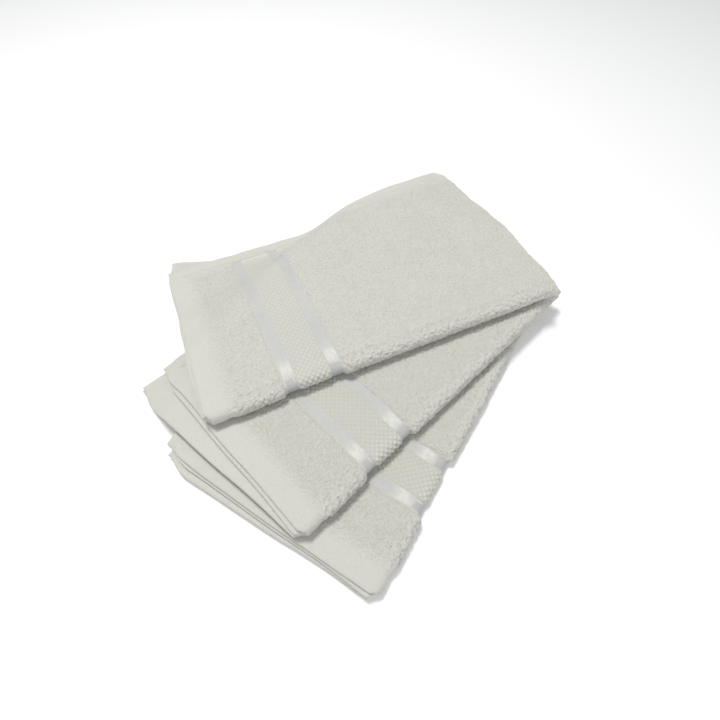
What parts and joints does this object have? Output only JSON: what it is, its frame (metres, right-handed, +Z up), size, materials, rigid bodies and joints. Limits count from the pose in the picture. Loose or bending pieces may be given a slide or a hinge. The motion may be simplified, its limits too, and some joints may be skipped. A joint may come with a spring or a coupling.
{
  "type": "folded towel set",
  "caption": "Three white terry hand towels with hemmed edges and a woven border at each end, each folded in four and fanned out in a draped stack.",
  "frame": {"origin": "the middle of the set's outline, on the surface it lies on", "axes": "+Z up; the towels' folded far ends meet towards +X, and their hemmed ends fan out towards -X and -Y; the top towel's length runs 24.3 degrees from +X towards +Y"},
  "size_m": [0.4104, 0.4522, 0.048],
  "materials": {
    "pile": "white looped terry pile, matt",
    "hem": "white plain flat weave, stitched, matt",
    "waffle": "white waffle weave of small raised diamonds, matt",
    "satin": "white satin stripe with a soft sheen"
  },
  "bodies": {
    "bottom_towel": {"bottom_towel_inner_end_hem": "hem", "bottom_towel_inner_end_strip": "pile", "bottom_towel_inner_far_satin_stripe": "satin", "bottom_towel_inner_near_satin_stripe": "satin", "bottom_towel_inner_waffle_band": "waffle", "bottom_towel_lower_side_hem": "hem", "bottom_towel_outer_end_hem": "hem", "bottom_towel_outer_end_strip": "pile", "bottom_towel_outer_far_satin_stripe": "satin", "bottom_towel_outer_near_satin_stripe": "satin", "bottom_towel_outer_waffle_band": "waffle", "bottom_towel_terry_field": "pile", "bottom_towel_upper_side_hem": "hem"},
    "middle_towel": {"middle_towel_inner_end_hem": "hem", "middle_towel_inner_end_strip": "pile", "middle_towel_inner_far_satin_stripe": "satin", "middle_towel_inner_near_satin_stripe": "satin", "middle_towel_inner_waffle_band": "waffle", "middle_towel_lower_side_hem": "hem", "middle_towel_outer_end_hem": "hem", "middle_towel_outer_end_strip": "pile", "middle_towel_outer_far_satin_stripe": "satin", "middle_towel_outer_near_satin_stripe": "satin", "middle_towel_outer_waffle_band": "waffle", "middle_towel_terry_field": "pile", "middle_towel_upper_side_hem": "hem"},
    "top_towel": {"top_towel_fold_roll": "pile", "top_towel_lower_inner_end_hem": "hem", "top_towel_lower_inner_end_strip": "pile", "top_towel_lower_inner_far_satin_stripe": "satin", "top_towel_lower_inner_near_satin_stripe": "satin", "top_towel_lower_inner_waffle_band": "waffle", "top_towel_lower_outer_end_hem": "hem", "top_towel_lower_outer_end_strip": "pile", "top_towel_lower_outer_far_satin_stripe": "satin", "top_towel_lower_outer_near_satin_stripe": "satin", "top_towel_lower_outer_waffle_band": "waffle", "top_towel_lower_side_hem": "hem", "top_towel_lower_terry_field": "pile"},
    "top_towel_upper_leaf": {"top_towel_upper_inner_end_hem": "hem", "top_towel_upper_inner_end_strip": "pile", "top_towel_upper_inner_far_satin_stripe": "satin", "top_towel_upper_inner_near_satin_stripe": "satin", "top_towel_upper_inner_waffle_band": "waffle", "top_towel_upper_outer_end_hem": "hem", "top_towel_upper_outer_end_strip": "pile", "top_towel_upper_outer_far_satin_stripe": "satin", "top_towel_upper_outer_near_satin_stripe": "satin", "top_towel_upper_outer_waffle_band": "waffle", "top_towel_upper_side_hem": "hem", "top_towel_upper_terry_field": "pile"}
  },
  "joints": [
    {"name": "middle_towel_lift", "type": "slide", "parent": "bottom_towel", "child": "middle_towel", "axis": [0, 0, 1], "range_m": [0, 0.1]},
    {"name": "top_towel_lift", "type": "slide", "parent": "middle_towel", "child": "top_towel", "axis": [0, 0, 1], "range_m": [0, 0.1]},
    {"name": "upper_leaf_fold", "type": "hinge", "parent": "top_towel", "child": "top_towel_upper_leaf", "pos_m": [0.03191, -0.02291, 0.0402], "axis": [0.9114, 0.4115, 0], "range_deg": [0, 150], "deforming": ["top_towel_fold_roll"]}
  ]
}
